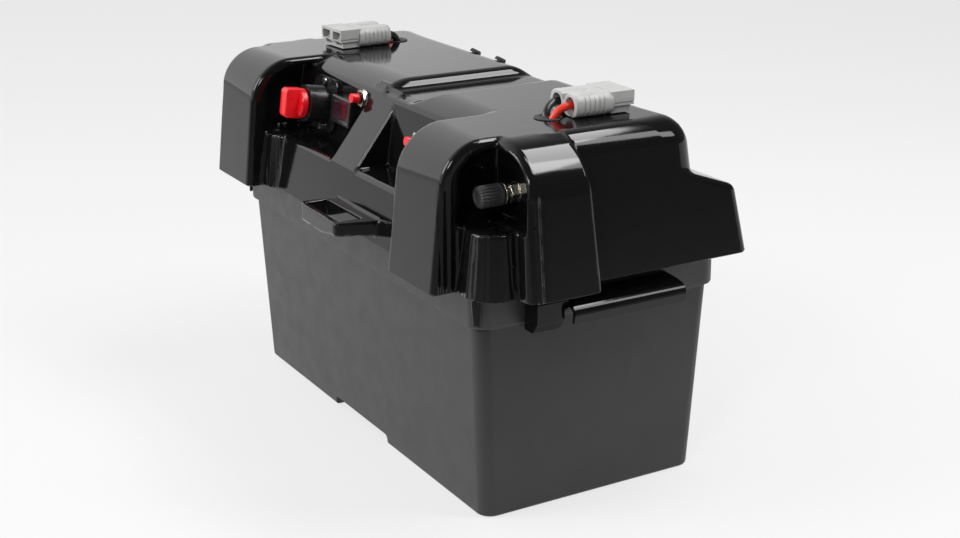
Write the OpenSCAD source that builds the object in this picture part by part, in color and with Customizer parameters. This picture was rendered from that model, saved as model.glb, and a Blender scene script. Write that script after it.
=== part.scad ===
// Portable battery box with fittings on its lid.
// X runs along the box, -Y is the front with the controls, Z is up.
// The origin is the middle of the tub's footprint, on the ground.

/* [Tub] */
// Length of the tub at its base, over the walls
tub_l = 378; // [350:1:410]
// Width of the tub at its base, over the walls
tub_w = 184; // [176:1:200]
// Height of the top of the tub's rim
rim_z = 183; // [175:1:200]
// Height of the underside of the thicker rim band
band_z = 146; // [135:1:155]
// Amount by which the tub is longer at the rim than at its base
draft_l = 9.5; // [4:0.5:12]
// Amount by which the tub is wider at the rim than at its base
draft_w = 18; // [10:0.5:20]
// Wall thickness of the tub
tub_wall = 3; // [2.4:0.1:4]
// Thickness of the tub's floor
tub_floor = 4; // [3:0.5:6]
// Corner radius of the tub in plan
tub_corner_r = 11; // [8:1:18]
// Height of the rounding along the tub's bottom edge
tub_base_round = 2.5; // [1.5:0.5:6]
// How far the rim band stands out from the wall
band_proud = 2; // [1.5:0.5:3]
// Width of the channel for a strap under the base
channel_w = 92; // [60:1:120]
// Height of the strap channel
channel_h = 7.5; // [5:0.5:10]
// Place of the strap channel along the box
channel_x = -6; // [-20:1:20]

/* [Carry grips] */
// Length of each end grip
grip_l = 94; // [70:1:110]
// How far a grip reaches out from the rim band
grip_out = 25; // [22:1:30]
// Height of the grip's shelf above the rim band's underside
grip_rise = 14.5; // [12:0.5:20]
// Thickness of the grip's shelf and lip
grip_t = 3; // [2.5:0.5:5]
// Depth of the grip's lip below its shelf
grip_lip = 12; // [9:0.5:15]
// Place of the grips from the middle of the box's width
grip_y = 8; // [-10:1:20]
// Length of the boss beside each grip
boss_l = 25; // [15:1:30]
// Length that the boss reaches below the band
boss_drop = 4; // [0:1:12]

/* [Lid] */
// How far the lid's skirt stands out past the rim at each end
over_end = 25.75; // [23:0.25:32]
// How far the lid's skirt stands out past the rim at the front
over_front = 13; // [10:1:18]
// How far the lid's skirt stands out past the rim at the back
over_back = 11; // [10:1:16]
// How far the skirt hangs below the tub's rim
skirt_drop = 8; // [5:1:12]
// Height of the lid from its skirt's edge to its top
lid_h = 103; // [98:1:112]
// Wall thickness of the lid
lid_wall = 3; // [2.4:0.1:4]
// Corner radius of the lid in plan
lid_corner_r = 23; // [16:1:28]
// Corner radius of the lid's lower stage in plan
skirt_corner_r = 9; // [6:1:20]
// Slope of the lower front wall over its height
skirt_lean = 9; // [5:0.5:12]
// Lean of the lid's end walls over their height
end_lean = 10.5; // [6:0.5:14]
// Radius of the top edges along the lid's ends
end_round = 16; // [10:1:20]
// Radius of the top edge along the lid's back
back_round = 22; // [12:1:26]
// Width of the shelf along the lid's back
shelf_w = 40; // [32:1:48]
// Height of the back shelf's inner edge above the skirt
shelf_h = 61; // [54:1:68]
// Fall of the back shelf to its outer edge
shelf_fall = 10; // [4:1:14]
// Thickness of the ledge inside the lid that rests on the rim
seat_t = 3; // [2:0.5:4]
// Width of the ledge inside the lid, over the rim
seat_w = 12; // [9:0.5:15]

/* [Front recess] */
// Height of the recess floor above the skirt
ledge_h = 44; // [38:1:50]
// Depth of the recess from the skirt's front to the foot of its back wall
recess_d = 37; // [34:0.5:39]
// Lean of the recess back wall over its height
panel_lean = 7; // [5:0.5:9]
// Height of the recess back wall
panel_h = 50; // [47:1:52]
// Width of the sloping rib that parts the recess
rib_w = 44; // [30:1:50]
// Place of the sloping rib along the box
rib_x = 4; // [-10:1:12]
// Height of the sloping rib above the recess floor
rib_h = 43; // [34:1:46]

/* [Towers] */
// Half the width of the recess between the front towers
tower_x = 124; // [121:1:128]
// Distance from the lid's end to a front tower's outer side
corner_w = 30.5; // [28:0.5:34]
// How far a front tower stands out of the skirt's front
tower_out = 19; // [15:1:22]
// Radius of the towers' rounded tops
tower_round = 31; // [28:1:38]
// Slope of the towers' outer faces over their straight height
tower_lean = 7; // [4:0.5:9]
// How far an end tower stands out of the skirt's end
end_tower_out = 20; // [16:1:24]
// How far an end tower stands in front of the outer niche's back wall
end_tower_lip = 15; // [12:1:18]
// Width of an end tower
end_tower_w = 56; // [46:1:62]
// Depth that the niches cut sideways into a front tower
niche_cut = 16; // [12:0.5:18]
// Depth of the outer niches from the skirt's front to their back wall
niche_d = 43; // [41:0.5:44]
// Thickness of the end tower beside an outer niche
niche_web = 17; // [14:1:20]
// Thickness of the roof over the niches
niche_roof = 7; // [6:0.5:9]
// Radius of the arches over the niches
niche_round = 25; // [18:1:28]
// Radius of the half-round aprons at the lid's ledge
apron_r = 17; // [14:0.5:19]
// Growth of the aprons' radius down to the skirt
apron_draft = 5.5; // [3:0.5:7]

/* [Top] */
// Width of the saddle across the lid's top
saddle_w = 46; // [36:1:56]
// Depth of the saddle
saddle_d = 7; // [4:0.5:8]
// Place of the saddle along the box
saddle_x = 22; // [10:1:30]
// Diameter of the lead holes in the lid
lead_hole_d = 18; // [17.5:0.5:20]
// Distance of the right lead hole from the lid's end
right_hole_in = 61; // [54:0.5:70]
// Distance of the right lead hole in front of the middle
right_hole_y = 23; // [20:1:28]
// Distance of the left lead hole behind the middle
left_hole_y = 21; // [18:1:28]
// Distance of the left lead hole from the lid's end
left_hole_in = 67.5; // [62:0.5:76]

/* [Strap bracket] */
// Width of the bracket where it meets the lid
bracket_w = 70; // [50:1:80]
// Width of the bracket's front bar
bracket_bar_w = 60; // [40:1:70]
// How far the bracket stands out
bracket_out = 35; // [25:1:40]
// Height of the bracket
bracket_h = 14; // [10:1:18]
// Thickness of the bracket's bars
bracket_t = 5; // [4:0.5:8]
// Width of the bracket's web along the lid
bracket_web = 14; // [8:1:18]
// Place of the bracket along the box
bracket_x = 31; // [10:1:40]
// Height of the bracket's underside above the skirt
bracket_rise = 5; // [2:1:12]

/* [Isolator] */
// Place of the isolator along the box, to the left of the middle
isolator_x = 92; // [92:1:98]
// Height of the isolator on the recess back wall
isolator_h = 26; // [25:0.5:27]
// Diameter of the isolator's rear body
isolator_d = 29; // [26:1:29]
// Depth of the isolator's rear body behind the wall
isolator_depth = 30; // [24:1:38]
// Width and height of the isolator's flange
flange_w = 43; // [41:1:43]
// Thickness of the flange
flange_t = 3; // [2:0.5:4]
// Diameter of the isolator's studs
isolator_stud_d = 6; // [5:0.5:6]
// Distance of each flange screw from the isolator's axis
flange_screw_r = 18; // [17.8:0.1:18.3]
// Diameter of the isolator's hub
hub_d = 29.5; // [26:0.5:29.5]
// Length of the hub in front of the flange
hub_l = 18; // [14:1:20]
// Diameter of the key's round foot
key_d = 25; // [20:1:28]
// Length of the key in front of the hub
key_l = 18; // [15:1:22]
// Thickness of the key's grip
key_t = 10; // [7:0.5:12]
// Diameter of the key's spindle
spindle_d = 9; // [7:0.5:11]
// Turn of the key between on and off, in degrees
key_turn = 90; // [60:5:90]

/* [Voltmeter] */
// Place of the voltmeter along the box, to the left of the middle
meter_x = 53; // [52:0.5:53]
// Height of the voltmeter on the recess back wall
meter_h = 27; // [24:0.5:28]
// Width of the voltmeter's bezel
meter_w = 34; // [31:0.5:34.5]
// Height of the voltmeter's bezel
meter_face_h = 22; // [18:0.5:24]
// How far the bezel stands out from the wall
meter_out = 8; // [6:0.5:10]
// Depth of the voltmeter's body behind the wall
meter_depth = 20; // [14:1:26]

/* [Breakers] */
// Place of the left breaker along the box, left of the middle
left_breaker_x = 29; // [28:0.5:30]
// Height of the left breaker on the recess back wall
left_breaker_h = 42; // [41:0.5:42.5]
// Place of the right breaker along the box
right_breaker_x = 64; // [58:1:72]
// Height of the right breaker on the recess back wall
right_breaker_h = 28; // [24:1:32]
// Diameter of a breaker's threaded neck
neck_d = 9.5; // [8:0.5:10]
// Width across the flats of a breaker's nut
breaker_nut_w = 12; // [11.5:0.5:12]
// Diameter of the push button
button_d = 7; // [5:0.5:7.5]
// Length of the push button in front of the neck
button_l = 6.5; // [5:0.5:9]
// Travel of the push button
button_travel = 3; // [2:0.5:4]

/* [Terminals] */
// Distance of each terminal outwards from its front tower's side
terminal_off = 6; // [4:0.5:9]
// Height of the terminals above the recess floor
terminal_h = 22; // [18:0.5:26]
// Diameter of the terminal studs
stud_d = 8; // [6:0.5:9]
// Diameter of the terminal knobs
knob_d = 15.5; // [14:0.5:18]
// Length of the terminal knobs
knob_l = 18; // [15:1:22]
// Length of stud between the wall and the knob
stud_gap = 12.5; // [10.5:0.5:14]
// Number of grooves round a knob
knob_grooves = 20; // [12:2:24]

/* [Connectors] */
// Length of a connector housing
conn_l = 47.8; // [44:0.2:52]
// Width of a connector housing
conn_w = 36.6; // [34:0.2:40]
// Height of a connector housing
conn_h = 15.9; // [14:0.1:18]
// Length of the ribbed half of the housing
conn_rear_l = 30; // [26:0.5:33]
// Distance between the two poles
pole_pitch = 17.4; // [16:0.2:18]
// Diameter of the cable entries
entry_d = 11.8; // [10:0.1:12]
// Turn of the right connector on the lid, in degrees
right_conn_turn = 2; // [0:1:14]
// Turn of the left connector on the lid, in degrees
left_conn_turn = 3; // [-9:1:9]
// Diameter of the leads
lead_d = 5.6; // [5:0.1:6]

/* [Hidden] */

$fn = 48;
tiny = 0.01;
// Clearance between parts that lie loosely on each other
gap = 0.3;
// Radial clearance of a bolt or body in its hole
hole_gap = 0.3;
// Radial clearance of a turning or sliding fit
run_gap = 0.05;

skirt_z = rim_z - skirt_drop;
top_z = skirt_z + lid_h;
ledge_z = skirt_z + ledge_h;
crease_z = ledge_z + panel_h;
panel_angle = atan(panel_lean / panel_h);
rim_l = tub_l + draft_l;
rim_w = tub_w + draft_w;
lid_l = rim_l + 2 * over_end;
end_x = lid_l / 2;
lid_front = rim_w / 2 + over_front;
lid_back = rim_w / 2 + over_back;
upper_back = lid_back - shelf_w;
panel_foot = lid_front - recess_d;
niche_front = lid_front;
niche_back = lid_front - niche_d;
end_tower_y = niche_back + end_tower_lip;
panel_top = panel_foot - panel_lean;
band_l = rim_l + 2 * band_proud;
band_w = rim_w + 2 * band_proud;
tower_far = end_x - corner_w;
terminal_x = tower_far + terminal_off;
right_hole_x = end_x - right_hole_in;
left_hole_x = end_x - left_hole_in;
tower_y = lid_front + tower_out;
tower_end = end_x + end_tower_out;
rib_x0 = rib_x - rib_w / 2;
rib_x1 = rib_x + rib_w / 2;
panel_t = lid_wall * cos(panel_angle);
// The whole part is shifted so that the middle of its footprint is at the origin
shift_y = (lid_front + bracket_out - lid_back) / 2;
terminal_z = ledge_z + terminal_h;
skirt_under = 12;

function arc(cx, cy, r, a0, a1, n = 8) =
    [for (i = [0:n]) [cx + r * cos(a0 + (a1 - a0) * i / n), cy + r * sin(a0 + (a1 - a0) * i / n)]];
function mirrored(p) = [for (i = [len(p) - 1:-1:0]) [-p[i][0], p[i][1]]];

// ---------- general forms ----------

// Prism of a profile drawn in Y and Z, from x0 to x1
module along_x(x0, x1, profile) {
    translate([x0, 0, 0])
        rotate([90, 0, 90])
            linear_extrude(x1 - x0)
                polygon(profile);
}

// Prism of a profile drawn in X and Z, from y0 to y1
module along_y(y0, y1, profile) {
    translate([0, y1, 0])
        rotate([90, 0, 0])
            linear_extrude(y1 - y0)
                polygon(profile);
}

// Rectangle with round corners
module round_rect(l, w, r) {
    square([l - 2 * r, w], center = true);
    square([l, w - 2 * r], center = true);
    for (x = [-1, 1], y = [-1, 1])
        translate([x * (l / 2 - r), y * (w / 2 - r)])
            circle(r);
}

module round_slab(l, w, r, z0, z1) {
    translate([0, 0, z0])
        linear_extrude(z1 - z0)
            round_rect(l, w, r);
}

module hexagon(across, h) {
    cylinder(h = h, d = across / cos(30), $fn = 6);
}

// Places children on the leaning recess wall: local Z points out of it
module on_panel(x, up) {
    translate([x, -panel_foot + up * panel_lean / panel_h, ledge_z + up])
        rotate([90 - panel_angle, 0, 0])
            children();
}

// Places children on an outer niche's back wall: local Z points to the front
module on_niche(side) {
    translate([side * terminal_x, -niche_back, terminal_z])
        rotate([90, 0, 0])
            children();
}

// Puts a finished piece in the part's frame
module placed() {
    translate([0, shift_y, 0])
        children();
}

// Child on the right, and its mirror image on the left
module both_sides() {
    children();
    mirror([1, 0, 0])
        children();
}

// ---------- tub ----------

// Tapered body of the tub, drawn in by t on every side
module tub_form(t, z0) {
    rise = tub_base_round;
    hull() {
        round_slab(tub_l - 2 * t - 2 * rise, tub_w - 2 * t - 2 * rise,
            tub_corner_r - t, z0, z0 + tiny, $fn = 32);
        round_slab(tub_l - 2 * t, tub_w - 2 * t, tub_corner_r - t, z0 + rise, z0 + rise + tiny, $fn = 32);
        round_slab(rim_l - 2 * t, rim_w - 2 * t, tub_corner_r - t, rim_z - tiny, rim_z, $fn = 32);
    }
}

module tub() {
    floor_over = channel_h + tub_wall;
    color([0.13, 0.13, 0.135])
        difference() {
            union() {
                tub_form(0, 0);
                round_slab(band_l, band_w, tub_corner_r + band_proud, band_z, rim_z);
            }
            difference() {
                tub_form(tub_wall, tub_floor);
                translate([channel_x - channel_w / 2 - tub_wall, -tub_w, 0])
                    cube([channel_w + 2 * tub_wall, 2 * tub_w, floor_over]);
            }
            round_slab(rim_l - 2 * tub_wall, rim_w - 2 * tub_wall, tub_corner_r - tub_wall,
                rim_z - 1, rim_z + 1);
            translate([channel_x - channel_w / 2, -tub_w, -1])
                cube([channel_w, 2 * tub_w, channel_h + 1]);
        }
}

// Shelf with a turned-down lip, standing on the end of the rim band
module carry_grip() {
    x0 = band_l / 2;
    x1 = x0 + grip_out;
    z1 = band_z + grip_rise;
    z0 = z1 - grip_lip;
    shoulder = grip_out * 0.55;
    zc = z1 + grip_t - 9;
    outer = concat([[x0, z1 + grip_t], [x0 + shoulder, z1 + grip_t - 1]],
        arc(x1 - 7, zc, 7, 70, 0, 6), [[x1 - 1, z0], [x1 - 1 - grip_t, z0]],
        arc(x1 - 7, zc, 7 - grip_t, 0, 70, 6), [[x0 + shoulder, z1 - 1], [x0, z1]]);
    y0 = grip_y - grip_l / 2;
    color([0.05, 0.05, 0.055]) {
        along_y(y0, y0 + grip_l, outer);
        for (y = [y0, grip_y - grip_t / 2, y0 + grip_l - grip_t])
            along_y(y, y + grip_t, [[x0, z1], [x0, band_z + 1], [x1 - 6, z1]]);
        translate([x0, y0 - boss_l, z1])
            cube([grip_out * 0.65, boss_l + tiny, grip_t]);
        along_y(y0 - boss_l, y0 - grip_t, [[x0, z1 + tiny], [x0, band_z - boss_drop],
            [x0 + grip_out * 0.4, band_z - boss_drop], [x0 + grip_out * 0.65, band_z + 4],
            [x0 + grip_out * 0.65, z1 + tiny]]);
    }
}

module carry_grip_right() {
    carry_grip();
}

module carry_grip_left() {
    mirror([1, 0, 0])
        carry_grip();
}

// ---------- lid ----------

// Lower stage of the lid, from the skirt to the recess floor and the back shelf
function lower_profile(t) = let (low = t > 0 ? skirt_z - skirt_under : skirt_z, edge = upper_back + 27)
    concat([[-lid_front + t, low], [-lid_front + t, skirt_z],
        [-lid_front + skirt_lean + t, ledge_z - t], [0, ledge_z - t], [0, skirt_z + shelf_h - t],
        [upper_back, skirt_z + shelf_h - t]],
        arc(edge, skirt_z + shelf_h - shelf_fall - 7, 7 - t, 75, 8, 5),
        [[lid_back - t, skirt_z], [lid_back - t, low]]);

// Upper stage of the lid, from the recess back wall to the upper back wall
function upper_profile(t) = concat(
    [[-panel_foot + t, ledge_z - t - 1], [-panel_foot + t, ledge_z],
    [-panel_foot + t + panel_lean * (1 - t / panel_h), crease_z - t]],
    arc(-panel_top + 30, top_z - 55, 55 - t, t > 0 ? 119 : 122.5, 90, 6),
    arc(upper_back - 3 - back_round, top_z - back_round, back_round - t, 90, 4, 8),
    [[upper_back - t, skirt_z + shelf_h - t - 1], [upper_back - t - 8, ledge_z - t - 1]]);

// Section of the lid across its ends
function end_profile(t) = let (low = t > 0 ? skirt_z - skirt_under : skirt_z,
        half = concat([[end_x - t, low], [end_x - t, skirt_z]],
            arc(end_x - end_lean - end_round, top_z - end_round, end_round - t, 5, 90, 7)))
    concat(half, mirrored(half));

// Section of a front tower
function tower_profile(t) = let (low = t > 0 ? skirt_z - skirt_under : skirt_z)
    concat([[-niche_back + 8, low], [-tower_y + t, low], [-tower_y + t, skirt_z]],
        arc(-tower_y + tower_lean + tower_round, top_z - tower_round, tower_round - t, 180, 90, 10),
        [[-niche_back + 8, top_z - t]]);

// Section of an end tower
function end_tower_profile(t) = let (low = t > 0 ? skirt_z - skirt_under : skirt_z)
    concat([[tower_far - 4, low], [tower_end - t, low], [tower_end - t, skirt_z]],
        arc(tower_end - tower_lean - tower_round, top_z - tower_round, tower_round - t, 0, 90, 10),
        [[tower_far - 4, top_z - t]]);

// Arch of the niches across the box
function arch_profile(t, back_foot, back_top) =
    concat([[-niche_front - t, ledge_z - t]],
        arc(-niche_front + niche_round, top_z - niche_roof - niche_round, niche_round + t, 180, 90, 8),
        [[back_top, top_z - niche_roof + t], [back_foot, ledge_z - t]]);

// Arch of the outer niches along the box
function end_arch_profile(t) =
    let (x = tower_end - niche_web)
    concat([[0, ledge_z - t], [x + t, ledge_z - t]],
        arc(x - niche_round, top_z - niche_roof - niche_round, niche_round + t, 0, 90, 8),
        [[0, top_z - niche_roof + t]]);

module plan_slab(x, front, back, r, t) {
    l = 2 * x - 2 * t;
    w = front + back - 2 * t;
    translate([0, (back - front) / 2, skirt_z - 30])
        linear_extrude(lid_h + 60)
            round_rect(l, w, r - t);
}

// The lid's whole outer form, drawn in by t on every side
module lid_form(t) {
    difference() {
        union() {
            intersection() {
                along_x(-end_x, end_x, lower_profile(t));
                along_y(-lid_front, lid_back, end_profile(t));
                plan_slab(end_x, lid_front, lid_back, skirt_corner_r, t);
            }
            intersection() {
                along_x(-end_x, end_x, upper_profile(t));
                along_y(-lid_front, lid_back, end_profile(t));
                union() {
                    plan_slab(end_x - end_lean * 0.65, lid_front + 60, upper_back, lid_corner_r, t);
                    translate([-end_x, -lid_front, 0])
                        cube([2 * end_x, lid_front, 2 * top_z]);
                }
            }
            both_sides() {
                along_x(tower_x + t, tower_far - t, tower_profile(t));
                along_y(-end_tower_y + t, -end_tower_y + end_tower_w - t, end_tower_profile(t));
                for (x = [tower_x - 1, tower_far + 13])
                    translate([x, -panel_foot - apron_r + 1, t > 0 ? skirt_z - skirt_under : skirt_z])
                        cylinder(h = ledge_z - skirt_z - (t > 0 ? t - skirt_under : 0),
                            r1 = apron_r + apron_draft - t, r2 = apron_r - t);
            }
            along_x(rib_x0 + t, rib_x1 - t,
                [[-lid_front + skirt_lean + t, ledge_z - t - 1],
                [-lid_front + skirt_lean + t, ledge_z - t / 2],
                [-panel_foot + panel_lean * rib_h / panel_h + t, ledge_z + rib_h - t / 2],
                [-panel_foot + 12, ledge_z + rib_h - t / 2], [-panel_foot + 12, ledge_z - t - 1]]);
        }
        both_sides() {
            along_x(tower_x - tiny - t - 20, tower_x + niche_cut + t,
                arch_profile(t, -panel_foot + t, -panel_top + t));
            intersection() {
                along_x(tower_far - niche_cut - t, tower_end,
                    arch_profile(t, -niche_back + t, -niche_back + t));
                along_y(-lid_front - tower_out, 0, end_arch_profile(t));
            }
        }
        along_y(-lid_front, lid_back, [[saddle_x - saddle_w / 2 + 4 - t, top_z - saddle_d - t],
            [saddle_x + saddle_w / 2 - 4 + t, top_z - saddle_d - t],
            [saddle_x + saddle_w / 2 + 4 + t, top_z + 2], [saddle_x - saddle_w / 2 - 4 - t, top_z + 2]]);
    }
}

// Loop for a strap at the lid's front
module strap_bracket() {
    y1 = -lid_front + skirt_lean * (bracket_rise / ledge_h) + 1;
    y0 = -lid_front - bracket_out;
    translate([bracket_x, 0, skirt_z + bracket_rise])
        difference() {
            linear_extrude(bracket_h)
                polygon([[-bracket_w / 2, y1 + 5], [-bracket_w / 2, y1],
                    [-bracket_bar_w / 2, y0 + 4], [-bracket_bar_w / 2 + 4, y0], [bracket_bar_w / 2 - 4, y0],
                    [bracket_bar_w / 2, y0 + 4], [bracket_w / 2, y1], [bracket_w / 2, y1 + 5]]);
            translate([-bracket_bar_w / 2 + bracket_t, y0 + bracket_t, -1])
                cube([bracket_bar_w - 2 * bracket_t, bracket_out - bracket_t - bracket_web, bracket_h + 2]);
        }
}

module lid() {
    seat_top = rim_z + seat_t;
    color([0.05, 0.05, 0.055])
        difference() {
            union() {
                difference() {
                    lid_form(0);
                    difference() {
                        lid_form(lid_wall);
                        // Ledge that rests on the tub's rim
                        difference() {
                            translate([-lid_l, -lid_l, rim_z + gap])
                                cube([2 * lid_l, 2 * lid_l, seat_t]);
                            round_slab(rim_l - 2 * seat_w, rim_w - 2 * seat_w, tub_corner_r - 4,
                                rim_z - 1, seat_top + 1);
                        }
                    }
                }
                strap_bracket();
                // Tongues that centre the lid at the tub's front corners
                for (a = [225, 315])
                    translate([sign(cos(a)) * (rim_l / 2 - tub_corner_r), -rim_w / 2 + tub_corner_r, 0])
                        rotate([0, 0, a - 90])
                            corner_tongue();
                // Flat seats for the plugs in the back
                for (x = plug_xs)
                    on_back(x)
                        translate([0, 0, -lid_wall - 1])
                            cylinder(h = lid_wall + 1 + plug_seat_h, d = plug_d);
            }
            on_panel(-isolator_x, isolator_h)
                cylinder(h = 30, d = isolator_d + 2 * hole_gap, center = true);
            on_panel(-meter_x, meter_h)
                cube([meter_w - 3, meter_face_h - 3, 30], center = true);
            on_panel(-left_breaker_x, left_breaker_h)
                cylinder(h = 16, d = neck_d + 2 * hole_gap, center = true);
            on_panel(right_breaker_x, right_breaker_h)
                cylinder(h = 16, d = neck_d + 2 * hole_gap, center = true);
            for (side = [-1, 1]) {
                on_niche(side)
                    cylinder(h = 16, d = stud_d + 2 * hole_gap, center = true);
                on_panel(-isolator_x, isolator_h)
                    translate([0, side * flange_screw_r, 0])
                        cylinder(h = 16, d = 3.4, center = true);
            }
            lead_hole(right_hole_x, -right_hole_y);
            lead_hole(-left_hole_x, left_hole_y);
            for (x = plug_xs)
                on_back(x)
                    cylinder(h = 10 * lid_wall, d = plug_stem_d + 2 * hole_gap, center = true);
        }
}

module lead_hole(x, y) {
    translate([x, y, top_z - lid_wall - 5])
        cylinder(h = lid_wall + 10, d = lead_hole_d + 2 * hole_gap);
}

// Tapered tongue that hangs from the ledge, just outside the rim band's corner
module corner_tongue() {
    out = tub_corner_r + band_proud + 1;
    translate([0, out + 1.5, 0])
        rotate([90, 0, 0])
            linear_extrude(3, center = true)
                polygon([[-5, rim_z + 2], [5, rim_z + 2], [4, skirt_z], [2.5, band_z + 6],
                    [-2.5, band_z + 6], [-4, skirt_z]]);
}

isolator_pitch = 15;
plug_xs = [-80, -40];
plug_d = 10;
plug_stem_d = 5;
plug_stem_l = 7;
plug_cap_h = 2.4;
plug_catch_h = 2.8;
plug_seat_h = 0.6;
plug_angle = 60;

// Places children on the round back edge of the lid: local Z points out of it
module on_back(x) {
    translate([x, upper_back - 3 - back_round + back_round * cos(plug_angle),
        top_z - back_round + back_round * sin(plug_angle)])
        rotate([plug_angle - 90, 0, 0])
            children();
}

module rear_plugs() {
    color([0.03, 0.03, 0.03])
        for (x = plug_xs)
            on_back(x)
                difference() {
                    union() {
                        translate([0, 0, plug_seat_h])
                            cylinder(h = plug_cap_h, d1 = plug_d, d2 = plug_d * 0.85);
                        translate([0, 0, -plug_stem_l])
                            cylinder(h = plug_stem_l + plug_seat_h + tiny, d = plug_stem_d);
                        translate([0, 0, -plug_stem_l - 1])
                            cylinder(h = plug_catch_h, d = plug_stem_d * 1.28);
                    }
                    translate([0, 0, -plug_stem_l - 2])
                        cylinder(h = plug_stem_l, d = plug_stem_d / 2);
                }
}

// ---------- isolator ----------

module isolator_body() {
    color([0.06, 0.06, 0.06])
        on_panel(-isolator_x, isolator_h)
            difference() {
                union() {
                    translate([0, 0, -isolator_depth])
                        cylinder(h = isolator_depth + 0.5, d = isolator_d);
                    linear_extrude(flange_t)
                        round_rect(flange_w, flange_w, 10);
                    cylinder(h = flange_t + hub_l, d = hub_d);
                }
                translate([0, 0, -isolator_depth + 8])
                    cylinder(h = 100, d = spindle_d + 2 * run_gap);
                for (side = [-1, 1]) {
                    translate([0, side * flange_screw_r, -5])
                        cylinder(h = 12, d = 3.4);
                    translate([side * isolator_pitch / 2, 0, -isolator_depth - 1])
                        cylinder(h = 8, d = isolator_stud_d + 2 * run_gap);
                }
            }
}

module isolator_key() {
    color([0.8, 0.02, 0.05])
        on_panel(-isolator_x, isolator_h)
            translate([0, 0, flange_t + hub_l + gap]) {
                translate([0, 0, -hub_l - 8])
                    cylinder(h = hub_l + 9, d = spindle_d);
                cylinder(h = 6, d = key_d);
                translate([-key_t / 2, -key_d / 2, 5])
                    cube([key_t, key_d, key_l - 5]);
            }
}

module isolator_screws() {
    color([0.8, 0.8, 0.8])
        on_panel(-isolator_x, isolator_h)
            for (side = [-1, 1])
                translate([0, side * flange_screw_r, flange_t]) {
                    difference() {
                        cylinder(h = 2.2, d = 5.6);
                        translate([0, 0, 2])
                            cube([4.4, 0.9, 1.6], center = true);
                        translate([0, 0, 2])
                            cube([0.9, 4.4, 1.6], center = true);
                    }
                    translate([0, 0, -flange_t - lid_wall - 4])
                        cylinder(h = flange_t + lid_wall + 4.5, d = 3.2);
                }
}

module isolator_studs() {
    color([0.75, 0.5, 0.25])
        on_panel(-isolator_x, isolator_h)
            for (side = [-1, 1])
                translate([side * isolator_pitch / 2, 0, -isolator_depth - 14])
                    cylinder(h = 21, d = isolator_stud_d);
}

module isolator_stud_nuts() {
    color([0.8, 0.8, 0.8])
        on_panel(-isolator_x, isolator_h)
            for (side = [-1, 1])
                translate([side * isolator_pitch / 2, 0, -isolator_depth - 5])
                    difference() {
                        hexagon(isolator_stud_d + 4, 5);
                        translate([0, 0, -1])
                            cylinder(h = 9, d = isolator_stud_d + 2 * run_gap);
                    }
}

// ---------- voltmeter ----------

module voltmeter_body() {
    color([0.05, 0.05, 0.05])
        on_panel(-meter_x, meter_h)
            translate([-(meter_w - 4) / 2, -(meter_face_h - 4) / 2, -meter_depth])
                cube([meter_w - 4, meter_face_h - 4, meter_depth + 2]);
}

module voltmeter_bezel() {
    color([0.05, 0.05, 0.05])
        on_panel(-meter_x, meter_h)
            difference() {
                linear_extrude(meter_out)
                    round_rect(meter_w, meter_face_h, 1.5);
                translate([-(meter_w - 4) / 2 - gap, -(meter_face_h - 4) / 2 - gap, -1])
                    cube([meter_w - 4 + 2 * gap, meter_face_h - 4 + 2 * gap, 3 + gap]);
                translate([0, 0, 2])
                    linear_extrude(meter_out)
                        square([meter_w - 8, meter_face_h - 7], center = true);
            }
}

module voltmeter_lens() {
    color([0.25, 0.06, 0.08])
        on_panel(-meter_x, meter_h)
            translate([0, 0, 2 + gap])
                linear_extrude(meter_out - 3)
                    square([meter_w - 8, meter_face_h - 7], center = true);
}

// ---------- breakers ----------

module breaker_body(x, up) {
    on_panel(x, up)
        difference() {
            union() {
                translate([-7, -18, -panel_t - 26])
                    cube([14, 22, 26]);
                translate([0, 0, -lid_wall - 1])
                    cylinder(h = lid_wall + 6, d = neck_d);
            }
            translate([0, 0, -lid_wall - 8])
                cylinder(h = 30, d = button_d - 1.5 + 2 * run_gap);
            translate([0, 0, 5 - button_travel - 1])
                cylinder(h = 30, d = button_d + 2 * run_gap);
        }
}

module breaker_nut(x, up) {
    on_panel(x, up)
        difference() {
            union() {
                cylinder(h = 0.8, d = breaker_nut_w + 1.5);
                translate([0, 0, 0.8])
                    hexagon(breaker_nut_w, 3);
            }
            translate([0, 0, -1])
                cylinder(h = 8, d = neck_d + 2 * run_gap);
        }
}

module reset_button(x, up) {
    on_panel(x, up) {
        translate([0, 0, 5 - button_travel - 1 + button_travel + 0.2])
            cylinder(h = button_l + 0.8, d = button_d);
        translate([0, 0, -lid_wall - 4])
            cylinder(h = lid_wall + 9, d = button_d - 1.5);
    }
}

module breaker_body_left() {
    color([0.08, 0.08, 0.08])
        breaker_body(-left_breaker_x, left_breaker_h);
}

module breaker_body_right() {
    color([0.08, 0.08, 0.08])
        breaker_body(right_breaker_x, right_breaker_h);
}

module breaker_nut_left() {
    color([0.8, 0.8, 0.78])
        breaker_nut(-left_breaker_x, left_breaker_h);
}

module breaker_nut_right() {
    color([0.8, 0.8, 0.78])
        breaker_nut(right_breaker_x, right_breaker_h);
}

module reset_button_left() {
    color([0.8, 0.02, 0.05])
        reset_button(-left_breaker_x, left_breaker_h);
}

module reset_button_right() {
    color([0.8, 0.02, 0.05])
        reset_button(right_breaker_x, right_breaker_h);
}

// ---------- terminals ----------

module terminal_stud(side) {
    color([0.8, 0.78, 0.7])
        on_niche(side)
            translate([0, 0, -lid_wall - 16])
                cylinder(h = lid_wall + 16 + stud_gap + knob_l - 6, d = stud_d);
}

terminal_nut_h = 6;

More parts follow.
